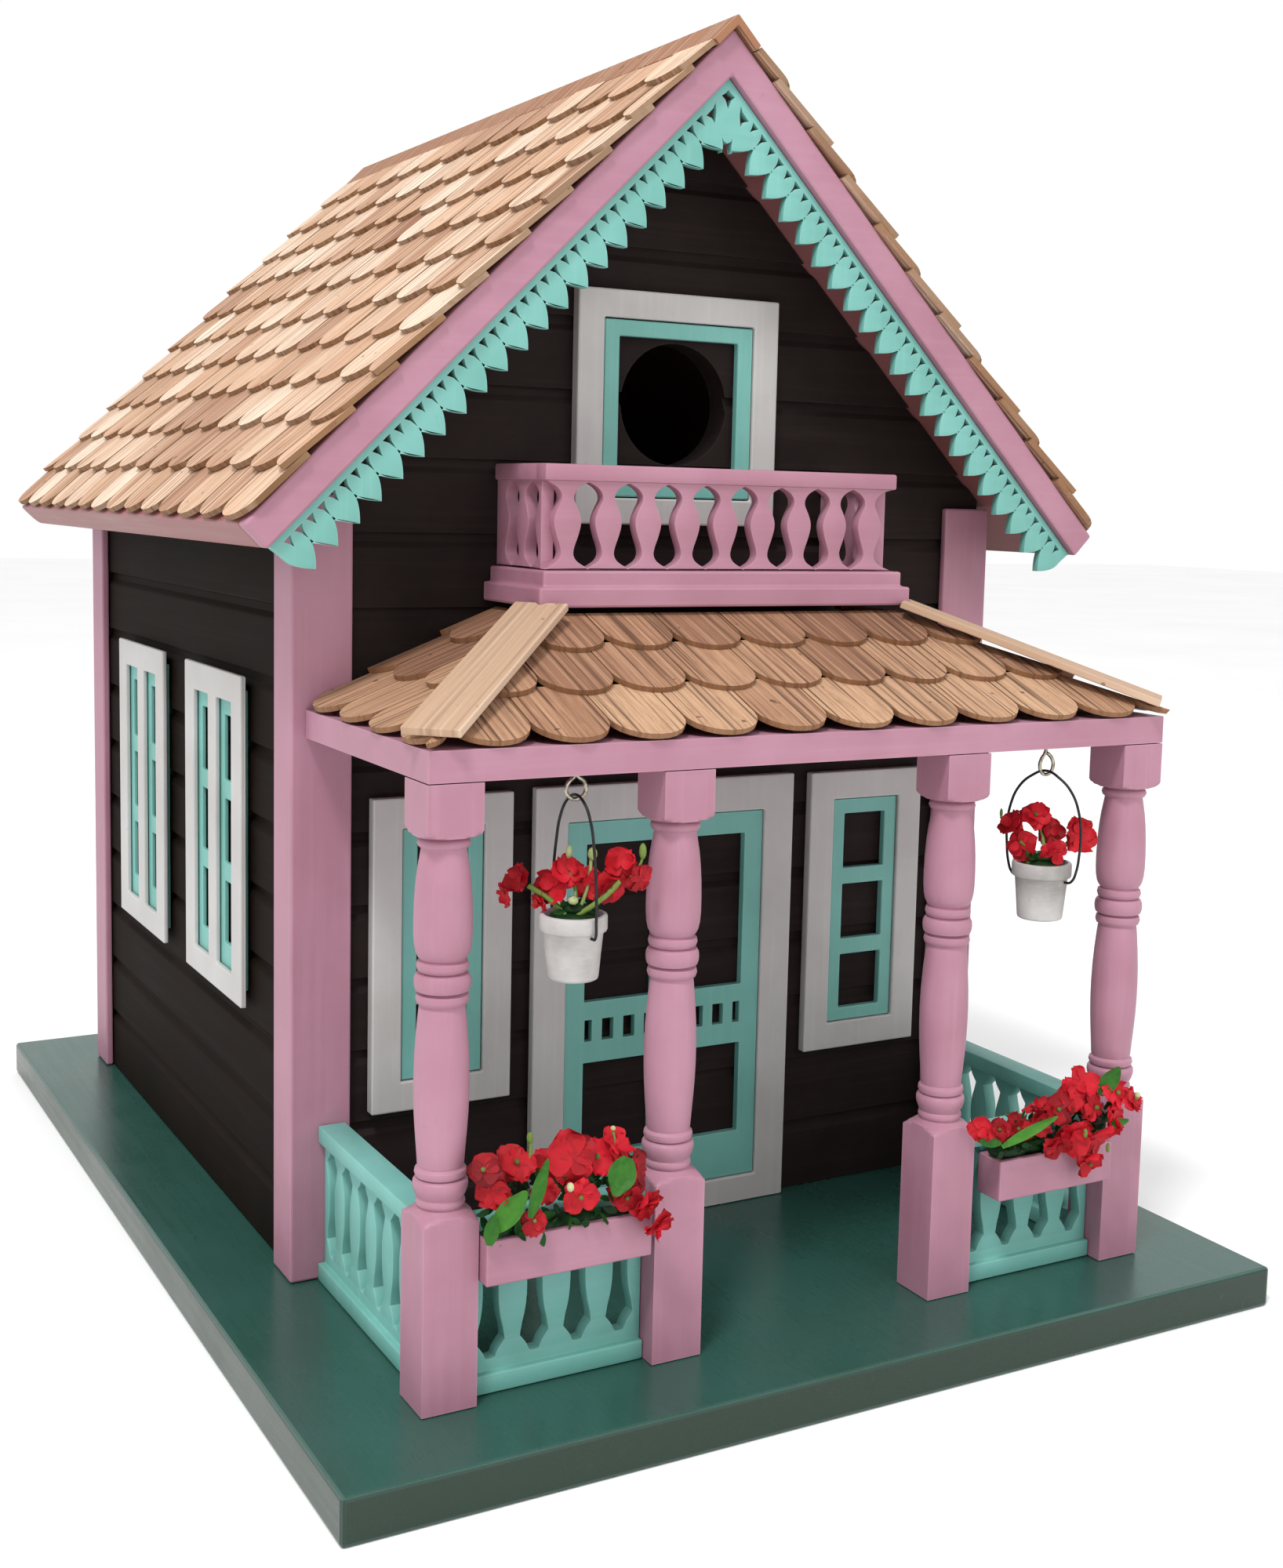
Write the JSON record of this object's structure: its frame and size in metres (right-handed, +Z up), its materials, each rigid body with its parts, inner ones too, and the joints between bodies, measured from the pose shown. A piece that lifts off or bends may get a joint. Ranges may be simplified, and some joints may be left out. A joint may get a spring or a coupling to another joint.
{
  "type": "birdhouse",
  "caption": "Cottage birdhouse on a plank base: railed porch, balcony under a round entrance hole, steep shingled gable roof, flower boxes, hanging pots and a rear clean-out hatch.",
  "frame": {"origin": "centre of the base plate's underside", "axes": "+Z up; the front of the house (porch, door and entrance hole) faces -Y; +X to the right seen from the front"},
  "size_m": [0.3048, 0.408, 0.3902],
  "materials": {
    "base_green": "satin dark green paint",
    "black_wire": "black, semi-gloss",
    "blossom": "red blossom with green leaves, matt",
    "cedar": "bare cedar, matt",
    "dark_siding": "near-black brown paint, low sheen",
    "mint_paint": "mint green eggshell paint",
    "nickel_wire": "nickel-plated",
    "pink_paint": "soft pink eggshell paint",
    "pot_white": "off-white paint",
    "white_paint": "off-white eggshell paint"
  },
  "bodies": {
    "house": {"attic_window_frame": "white_paint", "attic_window_sash": "mint_paint", "back_left_corner_post": "pink_paint", "back_right_corner_post": "pink_paint", "back_wall": "dark_siding", "balcony_floor": "pink_paint", "balcony_railing": "pink_paint", "base_plate": "base_green", "door_frame": "white_paint", "front_bargeboard": "pink_paint", "front_left_corner_post": "pink_paint", "front_left_railing": "mint_paint", "front_left_window_frame": "white_paint", "front_left_window_sash": "mint_paint", "front_right_corner_post": "pink_paint", "front_right_railing": "mint_paint", "front_right_window_frame": "white_paint", "front_right_window_sash": "mint_paint", "front_wall": "dark_siding", "gable_trim": "mint_paint", "inner_left_column": "pink_paint", "inner_right_column": "pink_paint", "left_back_window_frame": "white_paint", "left_back_window_sash": "mint_paint", "left_box_flowers": "blossom", "left_flower_box": "pink_paint", "left_front_window_frame": "white_paint", "left_front_window_sash": "mint_paint", "left_hip_board": "cedar", "left_roof_panel": "pink_paint", "left_screw_eye": "nickel_wire", "left_shingles": "cedar", "left_side_railing": "mint_paint", "left_wall": "dark_siding", "outer_left_column": "pink_paint", "outer_right_column": "pink_paint", "porch_ceiling_board": "pink_paint", "porch_hip_roof": "cedar", "ridge_cap": "cedar", "right_back_window_frame": "white_paint", "right_back_window_sash": "mint_paint", "right_box_flowers": "blossom", "right_flower_box": "pink_paint", "right_front_window_frame": "white_paint", "right_front_window_sash": "mint_paint", "right_hip_board": "cedar", "right_roof_panel": "pink_paint", "right_screw_eye": "nickel_wire", "right_shingles": "cedar", "right_side_railing": "mint_paint", "right_wall": "dark_siding", "screen_door": "mint_paint"},
    "left_bail": {"left_pot_bail": "black_wire"},
    "left_pot": {"left_pot": "pot_white", "left_pot_flowers": "blossom"},
    "right_bail": {"right_pot_bail": "black_wire"},
    "right_pot": {"right_pot": "pot_white", "right_pot_flowers": "blossom"},
    "hatch": {"clean_out_hatch": "dark_siding"},
    "button": {"turn_button": "pink_paint"}
  },
  "joints": [
    {"name": "left_bail_swing", "type": "hinge", "parent": "house", "child": "left_bail", "pos_m": [-0.077, -0.1695, 0.1695], "axis": [1, 0, 0], "range_deg": [-45, 45]},
    {"name": "left_pot_rock", "type": "hinge", "parent": "left_bail", "child": "left_pot", "pos_m": [-0.077, -0.1695, 0.1338], "axis": [0.1736, -0.9848, 0], "range_deg": [-20, 20]},
    {"name": "right_bail_swing", "type": "hinge", "parent": "house", "child": "right_bail", "pos_m": [0.0818, -0.1695, 0.16785], "axis": [1, 0, 0], "range_deg": [-45, 45]},
    {"name": "right_pot_rock", "type": "hinge", "parent": "right_bail", "child": "right_pot", "pos_m": [0.0818, -0.1695, 0.1358], "axis": [0.342, -0.9397, 0], "range_deg": [-20, 20]},
    {"name": "hatch_hinge", "type": "hinge", "parent": "house", "child": "hatch", "pos_m": [0, 0.164, 0.1053], "axis": [1, 0, 0], "range_deg": [0, 90]},
    {"name": "button_turn", "type": "hinge", "parent": "house", "child": "button", "pos_m": [0, 0.1709, 0.022], "axis": [0, 1, 0], "range_deg": [-90, 0]}
  ]
}
